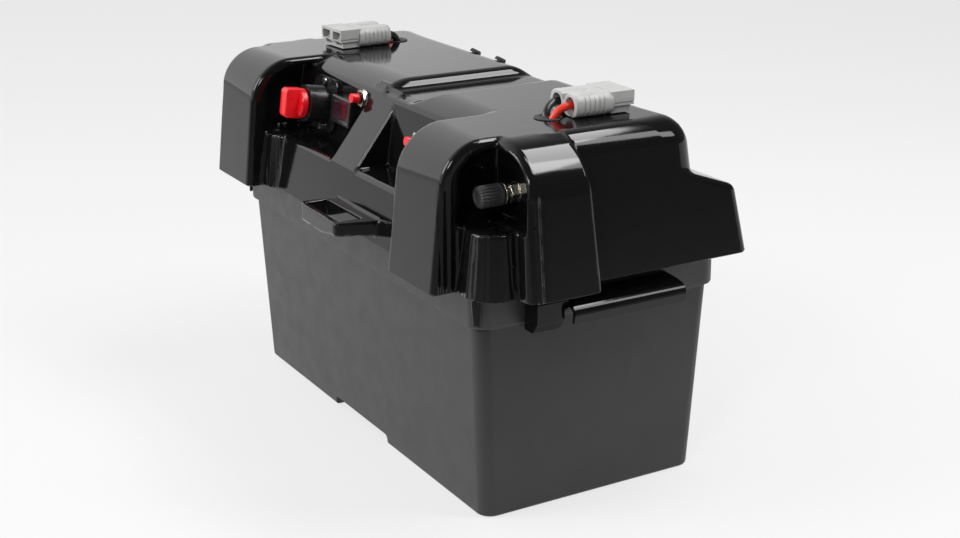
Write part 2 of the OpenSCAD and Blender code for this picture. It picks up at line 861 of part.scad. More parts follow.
// Washer on the wall, then a spring washer and a wide washer behind the knob
module terminal_washers(side) {
    color([0.82, 0.8, 0.72])
        on_niche(side)
            difference() {
                union() {
                    cylinder(h = 1.2, d = knob_d);
                    translate([0, 0, 1.2 + terminal_nut_h])
                        cylinder(h = stud_gap - gap - 1.2 - terminal_nut_h, d = 12.4);
                    translate([0, 0, stud_gap - gap - 1.5])
                        cylinder(h = 1.5, d = knob_d + 1);
                }
                translate([0, 0, -1])
                    cylinder(h = stud_gap + 2, d = stud_d + 2 * run_gap);
            }
}

module terminal_nut(side) {
    color([0.8, 0.8, 0.78])
        on_niche(side)
            translate([0, 0, 1.2])
                difference() {
                    hexagon(13, terminal_nut_h);
                    translate([0, 0, -1])
                        cylinder(h = stud_gap + 2, d = stud_d + 2 * run_gap);
                }
}

module terminal_backnut(side) {
    color([0.8, 0.8, 0.78])
        on_niche(side)
            translate([0, 0, -lid_wall - 6.5])
                difference() {
                    hexagon(13, 6.5);
                    translate([0, 0, -1])
                        cylinder(h = 9, d = stud_d + 2 * run_gap);
                }
}

// Grooved hand nut
module terminal_knob(side) {
    on_niche(side)
        translate([0, 0, stud_gap])
            difference() {
                union() {
                    cylinder(h = knob_l - 1.5, d = knob_d);
                    translate([0, 0, knob_l - 1.5])
                        cylinder(h = 1.5, d1 = knob_d, d2 = knob_d - 3);
                }
                translate([0, 0, -1])
                    cylinder(h = knob_l - 4, d = stud_d + 2 * run_gap);
                for (i = [0:knob_grooves - 1])
                    rotate([0, 0, i * 360 / knob_grooves])
                        translate([knob_d / 2 + 0.35, 0, 2.5])
                            cylinder(h = knob_l, d = 1.6, $fn = 16);
            }
}

module terminal_stud_right() {
    terminal_stud(1);
}

module terminal_stud_left() {
    terminal_stud(-1);
}

module terminal_washers_right() {
    terminal_washers(1);
}

module terminal_washers_left() {
    terminal_washers(-1);
}

module terminal_nut_right() {
    terminal_nut(1);
}

module terminal_nut_left() {
    terminal_nut(-1);
}

module terminal_backnut_right() {
    terminal_backnut(1);
}

module terminal_backnut_left() {
    terminal_backnut(-1);
}

module terminal_knob_black() {
    color([0.08, 0.08, 0.085])
        terminal_knob(1);
}

module terminal_knob_red() {
    color([0.75, 0.02, 0.04])
        terminal_knob(-1);
}

// ---------- connectors and leads ----------

// How far a lead leans over towards its connector at the top of its grommet
lead_lean = 1.8;

// Slot in a grommet for the lead with this route
module lead_slot(route) {
    foot = route[len(route) - 1];
    way = [route[1][0] - foot[0], route[1][1] - foot[1], 0];
    hull()
        for (k = [0, lead_lean / norm(way)])
            translate([foot[0] + k * way[0], foot[1] + k * way[1], top_z - 10])
                cylinder(h = 20, d = lead_d + 2 * gap);
}

// Grommet at a lead hole, with a slot for each of its two leads
module lead_grommet(hole) {
    color([0.03, 0.03, 0.03])
        difference() {
            translate([hole[0], hole[1], top_z]) {
                translate([0, 0, -lid_wall])
                    cylinder(h = lid_wall + tiny, d = lead_hole_d);
                cylinder(h = 0.8, d = lead_hole_d + 2.4);
                translate([0, 0, -lid_wall - 1.5])
                    cylinder(h = 1.5 + tiny, d = lead_hole_d + 3);
            }
            children();
        }
}

module lead_grommet_right() {
    lead_grommet(right_hole)
        for (side = [-1, 1])
            lead_slot(right_route(side));
}

module lead_grommet_left() {
    lead_grommet(left_hole)
        for (side = [-1, 1])
            lead_slot(left_route(side));
}

// Middle of each connector on the lid, and the side its mating face looks to
conn_right = [right_hole_x - 1, 37.5 - right_hole_y, top_z + gap];
conn_left = [-left_hole_x, left_hole_y - 37.5, top_z + gap];
// Half the distance between a pair of leads in a grommet
lead_pair = 4.4;

// Placed with its mating face to -Y and its middle at the origin, lying on Z = 0
module connector_housing() {
    front_l = conn_l - conn_rear_l;
    rib_n = 6;
    color([0.68, 0.68, 0.67])
        difference() {
            union() {
                // Ribbed rear half
                translate([0, conn_l / 2 - conn_rear_l, conn_h / 2])
                    rotate([-90, 0, 0])
                        linear_extrude(conn_rear_l)
                            round_rect(conn_w, conn_h, 4.5);
                for (i = [1:rib_n])
                    translate([0, conn_l / 2 - i * conn_rear_l / (rib_n + 1), conn_h / 2])
                        rotate([-90, 0, 0])
                            linear_extrude(1.4)
                                round_rect(conn_w + 0.9, conn_h - 3, 4);
                // Hood of the mating half, and its tongue below
                translate([-conn_w / 2 + 1.6, -conn_l / 2, conn_h * 0.36])
                    cube([conn_w - 3.2, front_l + 1, conn_h * 0.64]);
                translate([-conn_w / 2 + 3.2, -conn_l / 2 + 2.5, 0.6])
                    cube([conn_w - 6.4, front_l, conn_h * 0.4]);
            }
            for (side = [-1, 1])
                translate([side * pole_pitch / 2, 0, conn_h / 2]) {
                    rotate([-90, 0, 0])
                        cylinder(h = conn_l, d = entry_d);
                    translate([-6, -conn_l, -1])
                        cube([12, conn_l, 6.8]);
                    translate([-5, -conn_l, -5.4])
                        cube([10, conn_l * 0.62, 3.6]);
                }
            // Notch between the poles in the rear
            translate([-1.2, conn_l / 2 - 8, conn_h - 2.6])
                cube([2.4, 9, 5]);
        }
}

module contacts() {
    color([0.85, 0.84, 0.8])
        for (side = [-1, 1])
            translate([side * pole_pitch / 2, 0, conn_h / 2]) {
                translate([-4, -conn_l / 2 + 3, -1])
                    cube([8, conn_l / 2 - 1, 2]);
                translate([0, 1.5, 0])
                    rotate([-90, 0, 0])
                        difference() {
                            cylinder(h = 10, d = 8.4);
                            translate([0, 0, 3])
                                cylinder(h = 20, d = lead_d + 2 * run_gap);
                        }
            }
}

module place_right() {
    translate(conn_right)
        rotate([0, 0, 180 - right_conn_turn])
            children();
}

module place_left() {
    translate(conn_left)
        rotate([0, 0, left_conn_turn])
            children();
}

module connector_right() {
    place_right()
        connector_housing();
}

module connector_left() {
    place_left()
        connector_housing();
}

module contacts_right() {
    place_right()
        contacts();
}

module contacts_left() {
    place_left()
        contacts();
}

// Point of a connector's own frame, in the part's frame
function turned(p, mid, a) =
    [mid[0] + p[0] * cos(a) - p[1] * sin(a), mid[1] + p[0] * sin(a) + p[1] * cos(a), mid[2] + p[2]];
// Start of a lead inside its contact, and a point straight behind it
function lead_seat(side, back, mid, a) = turned([side * pole_pitch / 2, back, conn_h / 2], mid, a);

// Smooth curve through four points, sampled n times
function bez(p, n) = [for (i = [0:n]) let (s = i / n, r = 1 - s)
    p[0] * r * r * r + p[1] * 3 * r * r * s + p[2] * 3 * r * s * s + p[3] * s * s * s];

// Lead from a contact, out of the housing, down in a quarter turn and through its grommet
function lead_route(side, mid, a, hole, pair) =
    let (p0 = lead_seat(side, 4.5, mid, a), p1 = lead_seat(side, conn_l / 2 - 1, mid, a),
        out = lead_seat(side, conn_l / 2 + 7, mid, a), z = top_z - 5.5, bend = 9,
        p2 = [hole[0] + pair, hole[1], z], p3 = [hole[0] + pair, hole[1], top_z - lid_wall - 12])
    concat([p0], bez([p1, out, [p2[0], p2[1], z + bend], p2], 10), [p3]);

function unit(v) = v / norm(v);
function cross_of(a, b) = [a[1] * b[2] - a[2] * b[1], a[2] * b[0] - a[0] * b[2], a[0] * b[1] - a[1] * b[0]];

// Round tube of diameter d through the points of p
module tube(p, d, sides = 8) {
    n = len(p);
    side_way = unit(cross_of(p[1] - p[0], [0, 0, 1]));
    rings = [for (i = [0:n - 1])
        let (t = unit(p[min(i + 1, n - 1)] - p[max(i - 1, 0)]),
            u = unit(side_way - t * (side_way * t)), v = cross_of(t, u))
        for (k = [0:sides - 1]) p[i] + (u * cos(k * 360 / sides) + v * sin(k * 360 / sides)) * d / 2];
    walls = [for (i = [0:n - 2], k = [0:sides - 1]) let (m = (k + 1) % sides)
        each [[i * sides + k, i * sides + m, (i + 1) * sides + m],
            [i * sides + k, (i + 1) * sides + m, (i + 1) * sides + k]]];
    first = [for (k = [1:sides - 2]) [0, k + 1, k]];
    last = [for (k = [1:sides - 2]) [(n - 1) * sides, (n - 1) * sides + k, (n - 1) * sides + k + 1]];
    polyhedron(rings, concat(walls, first, last));
}

right_hole = [right_hole_x, -right_hole_y];
left_hole = [-left_hole_x, left_hole_y];
function right_route(side) =
    lead_route(side, conn_right, 180 - right_conn_turn, right_hole, -side * lead_pair);
function left_route(side) = lead_route(side, conn_left, left_conn_turn, left_hole, side * lead_pair);

module lead_red_right() {
    color([0.85, 0.08, 0.05])
        tube(right_route(-1), lead_d);
}

module lead_black_right() {
    color([0.03, 0.03, 0.03])
        tube(right_route(1), lead_d);
}

module lead_red_left() {
    color([0.85, 0.08, 0.05])
        tube(left_route(-1), lead_d);
}

module lead_black_left() {
    color([0.03, 0.03, 0.03])
        tube(left_route(1), lead_d);
}

placed() tub();
placed() carry_grip_right();
placed() carry_grip_left();
placed() lid();
placed() rear_plugs();
placed() isolator_body();
placed() isolator_key();
placed() isolator_screws();
placed() isolator_studs();
placed() isolator_stud_nuts();
placed() voltmeter_body();
placed() voltmeter_bezel();
placed() voltmeter_lens();
placed() breaker_body_left();
placed() breaker_nut_left();
placed() reset_button_left();
placed() breaker_body_right();
placed() breaker_nut_right();
placed() reset_button_right();
placed() terminal_stud_right();
placed() terminal_stud_left();
placed() terminal_washers_right();
placed() terminal_washers_left();
placed() terminal_nut_right();
placed() terminal_nut_left();
placed() terminal_backnut_right();
placed() terminal_backnut_left();
placed() terminal_knob_black();
placed() terminal_knob_red();
placed() lead_grommet_right();
placed() lead_grommet_left();
placed() connector_right();
placed() connector_left();
placed() contacts_right();
placed() contacts_left();
placed() lead_red_right();
placed() lead_black_right();
placed() lead_red_left();
placed() lead_black_left();
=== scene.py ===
# Portable battery box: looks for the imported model.
# Lengths in this file are millimetres in the tub's own frame, unless a line says metres.
import math

import bmesh
import bpy
import numpy as np
from mathutils import Matrix, Vector

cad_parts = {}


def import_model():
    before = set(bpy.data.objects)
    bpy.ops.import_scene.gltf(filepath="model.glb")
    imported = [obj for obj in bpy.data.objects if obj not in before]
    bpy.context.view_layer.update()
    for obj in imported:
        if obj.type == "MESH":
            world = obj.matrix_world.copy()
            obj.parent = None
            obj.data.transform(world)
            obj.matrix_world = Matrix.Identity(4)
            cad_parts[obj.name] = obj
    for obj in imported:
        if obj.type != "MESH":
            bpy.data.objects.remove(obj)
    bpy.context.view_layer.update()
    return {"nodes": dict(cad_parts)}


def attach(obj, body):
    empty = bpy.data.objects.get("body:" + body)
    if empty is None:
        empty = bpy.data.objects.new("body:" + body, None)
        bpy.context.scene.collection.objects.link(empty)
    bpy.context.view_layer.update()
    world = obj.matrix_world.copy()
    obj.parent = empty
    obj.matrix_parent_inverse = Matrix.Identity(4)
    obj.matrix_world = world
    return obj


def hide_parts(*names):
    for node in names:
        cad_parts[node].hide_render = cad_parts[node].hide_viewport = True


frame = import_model()
nodes = frame["nodes"]

# The tub's middle lies this far from the frame's origin, along Y, in metres
SHIFT = 0.0185

# ---------- sizes that the CAD model fixes ----------

TUB_L, TUB_W, RIM_L, RIM_W = 378, 184, 387.5, 202
BAND_L, BAND_W, BAND_Z, RIM_Z = 391.5, 206, 146, 183
TUB_CORNER, BAND_CORNER, TUB_WALL, TUB_FLOOR, BASE_ROUND = 11, 13, 3, 4, 2.5
CHANNEL_X, CHANNEL_W, CHANNEL_H = -6, 92, 7.5
SKIRT_Z, LEDGE_Z, LEDGE_TOP, TOP_Z = 175, 219, 219.5, 278
PANEL_FOOT, PANEL_LEAN, PANEL_H = 77, 7, 50
PANEL_TILT = math.atan(PANEL_LEAN / PANEL_H)
NICHE_BACK, TERMINAL_X, TERMINAL_Z = 71, 195, 241
STUD_GAP, KNOB_L, KNOB_D, STUD_D, FLUTES = 12.5, 18, 15.5, 8, 20
CONN_L, CONN_W, CONN_H, CONN_REAR, POLE_PITCH, ENTRY_D = 47.8, 36.6, 15.9, 30, 17.4, 11.8
CONN_RIGHT, TURN_RIGHT = (157.5, 14.5, 278.3), 178
CONN_LEFT, TURN_LEFT = (-152, -16.5, 278.3), 3
HOLE_RIGHT, HOLE_LEFT, LEAD_PAIR, LEAD_D = (158.5, -23), (-152, 21), 4.4, 5.6


def at(x, y, z):
    """A point of the tub's frame, as metres in the part's frame."""
    return Vector((x / 1000, y / 1000 + SHIFT, z / 1000))


def shift(x, y, z):
    return Matrix.Translation((x, y, z))


def spin(degrees, axis):
    return Matrix.Rotation(math.radians(degrees), 4, axis)


def on_panel(x, up):
    """Place on the recess's leaning back wall, with Z out of the wall."""
    y = -PANEL_FOOT + up * PANEL_LEAN / PANEL_H
    return shift(x, y, LEDGE_Z + up) @ spin(90 - math.degrees(PANEL_TILT), "X")


def on_niche(side):
    """Place of a terminal on its niche's back wall, with Z to the front."""
    return shift(side * TERMINAL_X, -NICHE_BACK, TERMINAL_Z) @ spin(90, "X")


def add(name, data):
    """A new object in the scene."""
    item = bpy.data.objects.new(name, data)
    bpy.context.collection.objects.link(item)
    return item


# ---------- camera ----------

camera_data = bpy.data.cameras.new("camera")
camera_data.lens = 60.18
camera_data.sensor_width = 36
camera = add("camera", camera_data)
camera.location = at(1067.91, -613.48, 533.15)
camera.rotation_euler = (math.radians(90 - 18.64), 0, math.radians(59.49))
bpy.context.scene.camera = camera

# ---------- materials ----------


class Paint:
    """A material with a Principled shader, to which noise and bumps are added."""

    def __init__(self, name, colour, rough, metallic=0.0, specular=0.5):
        self.material = bpy.data.materials.new(name)
        self.material.use_nodes = True
        self.tree = self.material.node_tree
        self.shader = self.tree.nodes["Principled BSDF"]
        self.colour = colour
        self.rough = rough
        self.set("Base Color", (*colour, 1))
        self.set("Roughness", rough)
        self.set("Metallic", metallic)
        self.set("Specular IOR Level", specular)
        self.place = self.tree.nodes.new("ShaderNodeTexCoord").outputs["Object"]

    def set(self, socket, value):
        self.shader.inputs[socket].default_value = value

    def link(self, source, target):
        self.tree.links.new(source, target)

    def noise(self, scale, detail=2.0, stretch=None):
        """Noise with scale lumps to the metre, drawn out along an axis where stretch says."""
        node = self.tree.nodes.new("ShaderNodeTexNoise")
        node.inputs["Scale"].default_value = scale
        node.inputs["Detail"].default_value = detail
        source = self.place
        if stretch:
            mapping = self.tree.nodes.new("ShaderNodeMapping")
            mapping.inputs["Scale"].default_value = stretch
            self.link(source, mapping.inputs["Vector"])
            source = mapping.outputs["Vector"]
        self.link(source, node.inputs["Vector"])
        return node.outputs["Fac"]

    def spread(self, value, low, high):
        """Maps the middle of a noise's range to low and high."""
        node = self.tree.nodes.new("ShaderNodeMapRange")
        node.inputs["From Min"].default_value = 0.3
        node.inputs["From Max"].default_value = 0.7
        node.inputs["To Min"].default_value = low
        node.inputs["To Max"].default_value = high
        self.link(value, node.inputs["Value"])
        return node.outputs["Result"]

    def vary_rough(self, scale, low, high, stretch=None):
        self.link(self.spread(self.noise(scale, 3, stretch), low, high), self.shader.inputs["Roughness"])

    def vary_colour(self, scale, other, detail=3.0):
        """Mixes the colour with another one in soft patches."""
        node = self.tree.nodes.new("ShaderNodeMix")
        node.data_type = "RGBA"
        node.inputs[6].default_value = (*self.colour, 1)
        node.inputs[7].default_value = (*other, 1)
        self.link(self.spread(self.noise(scale, detail), 0, 1), node.inputs[0])
        self.link(node.outputs[2], self.shader.inputs["Base Color"])

    def bump(self, layers):
        """Adds bumps, each layer a scale, a height in metres and a stretch."""
        normal = None
        for scale, height, stretch in layers:
            node = self.tree.nodes.new("ShaderNodeBump")
            node.inputs["Strength"].default_value = 1
            node.inputs["Distance"].default_value = height
            self.link(self.noise(scale, 2, stretch), node.inputs["Height"])
            if normal:
                self.link(normal, node.inputs["Normal"])
            normal = node.outputs["Normal"]
        self.link(normal, self.shader.inputs["Normal"])


def tub_plastic():
    """Grained plastic with a fine and a coarse layer of bumps."""
    paint = Paint("tub_plastic", (0.021, 0.021, 0.0225), 0.42)
    paint.vary_colour(9, (0.025, 0.025, 0.026))
    paint.vary_rough(60, 0.38, 0.46)
    paint.bump([(1400, 0.00005, None), (420, 0.00004, None)])
    return paint.material


def glossy_plastic(name):
    """Polished black moulding whose surface waves a little."""
    paint = Paint(name, (0.0045, 0.0045, 0.005), 0.08, specular=0.36)
    paint.vary_rough(14, 0.06, 0.1)
    paint.bump([(45, 0.00006, None), (700, 0.000003, None)])
    return paint.material


def satin_plastic(name, colour, rough, other, specular=0.5):
    """Plastic or rubber that changes a little in colour and roughness."""
    paint = Paint(name, colour, rough, specular=specular)
    paint.vary_colour(60, other)
    paint.vary_rough(150, rough - 0.06, rough + 0.08)
    paint.bump([(900, 0.00002, None)])
    return paint.material


def plated(name, colour, rough, stretch=None):
    """Metal with darker patches and uneven polish."""
    paint = Paint(name, colour, rough, metallic=1)
    paint.vary_colour(220, tuple(c * 0.8 for c in colour))
    paint.vary_rough(300, rough - 0.07, rough + 0.1, stretch)
    paint.bump([(900, 0.00001, stretch)])
    return paint.material


def window_plastic():
    """Dark reddish window with a coat."""
    paint = Paint("lens", (0.035, 0.008, 0.012), 0.12)
    paint.vary_colour(140, (0.022, 0.006, 0.01))
    paint.vary_rough(90, 0.08, 0.18)
    paint.set("Coat Weight", 0.6)
    return paint.material


TUB = tub_plastic()
LID = glossy_plastic("lid_plastic")
GRIP = glossy_plastic("grip_plastic")
BLACK = satin_plastic("black_plastic", (0.007, 0.007, 0.008), 0.22, (0.011, 0.011, 0.012), 0.4)
KNOB_BLACK = satin_plastic("knob_plastic", (0.03, 0.03, 0.032), 0.5, (0.04, 0.04, 0.042))
RED = satin_plastic("red_plastic", (0.8, 0.006, 0.014), 0.3, (0.7, 0.005, 0.01))
LENS = window_plastic()
STEEL = plated("steel_screws", (0.66, 0.65, 0.62), 0.24)
NICKEL = plated("nickel", (0.74, 0.7, 0.6), 0.22)
COPPER = plated("copper_studs", (0.7, 0.36, 0.2), 0.3)
RUBBER = satin_plastic("rubber", (0.012, 0.012, 0.012), 0.55, (0.018, 0.018, 0.018))
GREY = satin_plastic("grey_plastic", (0.41, 0.41, 0.405), 0.42, (0.45, 0.45, 0.445))
CONTACT = plated("contact_metal", (0.8, 0.79, 0.76), 0.28)
RED_LEAD = satin_plastic("red_lead", (0.75, 0.035, 0.015), 0.33, (0.68, 0.025, 0.012))
BLACK_LEAD = satin_plastic("black_lead", (0.01, 0.01, 0.01), 0.3, (0.015, 0.015, 0.015))

# ---------- meshes ----------


def loft(rings, closed=False):
    """Points and faces of a skin through rings of equal length, capped or closed on itself."""
    n = len(rings[0])
    points = [p for ring in rings for p in ring]
    last = len(rings) if closed else len(rings) - 1
    faces = []
    for r in range(last):
        low, high = r * n, (r + 1) % len(rings) * n
        for k in range(n):
            m = (k + 1) % n
            faces.append((low + k, low + m, high + m, high + k))
    if not closed:
        faces.append(tuple(range(n))[::-1])
        faces.append(tuple(range((len(rings) - 1) * n, len(rings) * n)))
    return points, faces


def together(*parts):
    """Several (points, faces) as one."""
    points, faces = [], []
    for some_points, some_faces in parts:
        start = len(points)
        points.extend(some_points)
        faces.extend(tuple(start + k for k in face) for face in some_faces)
    return points, faces


def moved(part, place):
    """Points and faces moved to a place."""
    points, faces = part
    return [tuple(place @ Vector(p)) for p in points], faces


def round_rect(length, width, radius, z, steps=6):
    """Ring of a rectangle with round corners."""
    radius = min(radius, length / 2 - 0.01, width / 2 - 0.01)
    ring = []
    for corner, (sx, sy) in enumerate(((1, 1), (-1, 1), (-1, -1), (1, -1))):
        for k in range(steps + 1):
            a = math.radians(90 * (corner + k / steps))
            x = sx * (length / 2 - radius) + radius * math.cos(a)
            y = sy * (width / 2 - radius) + radius * math.sin(a)
            ring.append((x, y, z))
    return ring


def circle(radius, z, n=48):
    """Ring of a circle."""
    angles = [2 * math.pi * k / n for k in range(n)]
    return [(radius * math.cos(a), radius * math.sin(a), z) for a in angles]


def turned_form(profile, n=48):
    """Solid of revolution from a list of radius and height."""
    return loft([circle(r, z, n) for r, z in profile])


def block(x0, x1, y0, y1, z0, z1):
    """Points and faces of a box."""
    corners = ((x0, y0), (x1, y0), (x1, y1), (x0, y1))
    return loft([[(x, y, z0) for x, y in corners], [(x, y, z1) for x, y in corners]])


def shade(mesh, sharp):
    """Smooth shading, but for edges sharper than an angle in degrees."""
    mesh.shade_smooth()
    mesh.set_sharp_from_angle(angle=math.radians(sharp))


def make(name, part, material, body, place=None, sharp=30):
    """A piece from points in millimetres, riding on a body where one is named."""
    points, faces = moved(part, place) if place else part
    mesh = bpy.data.meshes.new(name)
    mesh.from_pydata([at(*p) for p in points], [], faces)
    skin = bmesh.new()
    skin.from_mesh(mesh)
    bmesh.ops.recalc_face_normals(skin, faces=skin.faces)
    skin.to_mesh(mesh)
    skin.free()
    mesh.materials.append(material)
    shade(mesh, sharp)
    piece = add(name, mesh)
    if body:
        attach(piece, body)
    return piece


def soften(piece, width, segments=3, angle=30):
    """Rounds the piece's sharp edges to a width in millimetres."""
    bevel = piece.modifiers.new("edges", "BEVEL")
    bevel.width = width / 1000
    bevel.segments = segments
    bevel.limit_method = "ANGLE"
    bevel.angle_limit = math.radians(angle)
    bevel.harden_normals = True


def carve(piece, cutters, operation="DIFFERENCE"):
    """Applies boolean operations with the cutters, which are then removed."""
    for cutter in cutters:
        step = piece.modifiers.new("carve", "BOOLEAN")
        step.operation = operation
        step.solver = "EXACT"
        step.object = cutter
        bpy.context.view_layer.update()
        graph = bpy.context.evaluated_depsgraph_get()
        mesh = bpy.data.meshes.new_from_object(piece.evaluated_get(graph))
        piece.modifiers.clear()
        piece.data = mesh
        bpy.data.objects.remove(cutter)


def cutter(part, place=None):
    """A form that only serves to carve a piece."""
    return make("cutter", part, BLACK, None, place)


def dress(name, material, edge=0.0, segments=2):
    """Gives a CAD node its material and rounds its edges."""
    node = nodes[name]
    node.data.materials.clear()
    node.data.materials.append(material)
    if edge:
        weld = node.modifiers.new("weld", "WELD")
        weld.merge_threshold = 0.00001
        soften(node, edge, segments)


# ---------- leads ----------


def turned(point, middle, degrees):
    """A point of a connector's frame, in the tub's frame."""
    c, s = math.cos(math.radians(degrees)), math.sin(math.radians(degrees))
    x, y, z = point
    return Vector((middle[0] + x * c - y * s, middle[1] + x * s + y * c, middle[2] + z))


def lead_route(side, middle, degrees, hole, pair, steps=20):
    """Points of a lead: out of its grommet, round a Bezier curve and into its contact."""
    def behind(y):
        return turned((side * POLE_PITCH / 2, y, CONN_H / 2), middle, degrees)

    x, y = hole[0] + pair, hole[1]
    start, over = Vector((x, y, TOP_Z - 5.5)), Vector((x, y, TOP_Z + 3.5))
    end, out = behind(CONN_L / 2 - 1), behind(CONN_L / 2 + 7)
    bow = []
    for k in range(steps + 1):
        s = k / steps
        r = 1 - s
        bow.append(start * r ** 3 + over * (3 * r * r * s) + out * (3 * r * s * s) + end * s ** 3)
    return [Vector((x, y, TOP_Z - 15)), *bow, behind(4.5)]


def lead(node, route, material):
    """A lead along its route, in place of a CAD node."""
    name = node.replace("lead", "cord")
    curve = bpy.data.curves.new(name, "CURVE")
    curve.dimensions = "3D"
    curve.bevel_depth = LEAD_D / 2 / 1000
    curve.bevel_resolution = 6
    curve.use_fill_caps = True
    line = curve.splines.new("POLY")
    line.points.add(len(route) - 1)
    for point, p in zip(line.points, route):
        point.co = (*at(*p), 1)
    line.use_smooth = True
    curve.materials.append(material)
    piece = add(name, curve)
    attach(piece, "lid")
    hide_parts(node)
    return piece


lead_plans = (
    ("lead_red_right", -1, CONN_RIGHT, TURN_RIGHT, HOLE_RIGHT, LEAD_PAIR, RED_LEAD, "red_lead"),
    ("lead_black_right", 1, CONN_RIGHT, TURN_RIGHT, HOLE_RIGHT, -LEAD_PAIR, BLACK_LEAD, "black_lead"),
    ("lead_red_left", -1, CONN_LEFT, TURN_LEFT, HOLE_LEFT, -LEAD_PAIR, RED_LEAD, "red_lead"),
    ("lead_black_left", 1, CONN_LEFT, TURN_LEFT, HOLE_LEFT, LEAD_PAIR, BLACK_LEAD, "black_lead"),
)
for name, side, middle, degrees, hole, pair, material, slot in lead_plans:
    route = lead_route(side, middle, degrees, hole, pair)
    lead(name, route, material)

# ---------- lid ----------
# Its form is a distance field: lengths in millimetres, negative inside.

# Wall of the lid where it is shown, thick enough for the grid on which the form is worked out
SHOWN_WALL, GRID = 3.6, 2.0

# Room in which the form is worked out
ROOM = ((-246, 246), (-148, 120), (SKIRT_Z - 2 * GRID, 286))

# Sides of the front towers, and the heights between which the niches lie
TOWER_IN, TOWER_OUT = 123.5, 189.5
NICHE_FLOOR, NICHE_ROOF = 221.5, 271.5

# Floor of the saddle across the top
SADDLE_Z = 270.5


def meet(a, b, r):
    """Intersection of two fields, with its edge rounded to radius r."""
    return np.minimum(-r, np.maximum(a, b)) + np.hypot(np.maximum(a + r, 0), np.maximum(b + r, 0))


def join(a, b, r):
    """Union of two fields, with a fillet of radius r."""
    return np.maximum(r, np.minimum(a, b)) - np.hypot(np.maximum(r - a, 0), np.maximum(r - b, 0))


def right_of(u, w, p, q):
    """Distance to the line from p to q, positive on its right."""
    du, dw = q[0] - p[0], q[1] - p[1]
    return ((u - p[0]) * dw - (w - p[1]) * du) / math.hypot(du, dw)


def before(x, y, point, facing):
    """Distance in front of an upright wall through a point, in plan."""
    return facing[0] * (x - point[0]) + facing[1] * (y - point[1])


def end_plane(x, z):
    """The skirt's leaning end."""
    return right_of(x, z, (219.5, SKIRT_Z), (209, 262))


def front_plane(y, z):
    """The skirt's leaning front."""
    return right_of(y, z, (-105, LEDGE_Z), (-114, SKIRT_Z))


def panel_plane(y, z):
    """The leaning back wall of the front recess."""
    return right_of(y, z, (-70, 269.3), (-PANEL_FOOT, LEDGE_Z))


def lower_stage(x, y, z):
    """The lid up to its ledge at the front and its sloping shelf at the back."""
    back = right_of(y, z, (112, SKIRT_Z), (104, 220))
    shelf = right_of(y, z, (98, 226.5), (71, 236))
    ring = meet(meet(end_plane(x, z), front_plane(y, z), 24), back, 8)
    low = meet(ring, z - LEDGE_TOP, 3.5)
    rear = meet(meet(ring, shelf, 4), 20 - y, 2)
    return np.minimum(low, rear)


def upper_stage(x, y, z):
    """The raised middle, with a round front edge over the leaning panel."""
    ends = end_plane(x, z)
    back = right_of(y, z, (72, 236), (69.5, 262))
    ring = meet(ends, back, 21)
    crown = np.hypot(np.maximum(-40 - y, 0), z - 223) - 55
    r = np.clip(19 + (back - ends) * 0.1, 16, 22)
    f = meet(ring, np.maximum(crown, z - TOP_Z), r)
    return np.maximum(meet(f, panel_plane(y, z), 2.2), 150 - z)


def flutes(y, z, start, end, top):
    """Depth of upright flutes between two places, which run out below a height."""
    pitch, depth = 6.2, 0.7
    band = np.clip(np.minimum(y - start, end - y) / 2.5, 0, 1) * np.clip((top - z) / 10, 0, 1)
    return band * (depth + depth * np.cos(2 * math.pi * (y - start) / pitch))


def front_tower(x, y, z):
    """Tower beside the front recess, with flutes on its outer side."""
    lean = right_of(y, z, (-126, 241), (-133, SKIRT_Z))
    r = np.clip(33 - (x - 124) * 5 / 65, 28, 33)
    f = meet(lean, z - TOP_Z, r)
    f = meet(f, x - TOWER_OUT + flutes(y, z, -127, -112, 256), 4.5)
    f = meet(f, TOWER_IN - x, 4.5)
    return np.maximum(f, y + 40)


def end_tower(x, y, z):
    """Tower on the lid's end, with flutes where it borders the niche."""
    lean = right_of(x, z, (239.5, SKIRT_Z), (232, 241))
    f = meet(lean + flutes(y, z, -87, -72, 252), z - TOP_Z, 36)
    f = meet(f, right_of(y, z, (-84, TOP_Z), (-86.5, SKIRT_Z)), 8)
    f = meet(f, right_of(y, z, (-29, SKIRT_Z), (-36, TOP_Z)), 4)
    return np.maximum(f, 150 - x)


def outer_niche(x, y, z):
    """Niche of a terminal, between a front tower and an end tower."""
    front = before(x, y, (TOWER_OUT, -115), (-0.686, -0.728))
    end = before(x, y, (229, -86), (0.731, 0.682))
    roof = z - NICHE_ROOF
    f = meet(meet(front, roof, 24), meet(end, roof, 25), 3)
    f = meet(f, 172 - x, 6)
    f = meet(f, y + NICHE_BACK, 3)
    return meet(f, NICHE_FLOOR - z, 1.5)


def inner_niche(x, y, z):
    """End of the front recess, which reaches into a front tower."""
    front = before(x, y, (TOWER_IN, -115), (0.6, -0.8))
    f = meet(front, z - NICHE_ROOF, 27)
    f = meet(f, x - 140, 6)
    f = meet(f, -panel_plane(y, z), 2)
    f = meet(f, LEDGE_TOP - z, 1.5)
    return meet(f, 110 - x, 2)


def apron(x, y, z, middle, foot, top, height, turn):
    """Half-round apron with flat facets, tapering from radius foot at the skirt to top at the ledge."""
    dx, dy = x - middle[0], y - middle[1]
    r = foot + (top - foot) * (z - SKIRT_Z) / (height - SKIRT_Z)
    facet, ridge_w, ridge_out, wave = 24, 1.6, 0.8, 0.9
    step = math.radians(facet)
    a = (np.arctan2(dy, dx) - math.radians(turn) + step / 2) % step - step / 2
    rho = np.hypot(dx, dy)
    ridge = ridge_out * np.exp(-(a * rho / ridge_w) ** 2)
    return meet(rho * np.cos(a) - r - ridge, z - height + wave * np.cos(a * 180 / facet), 2)


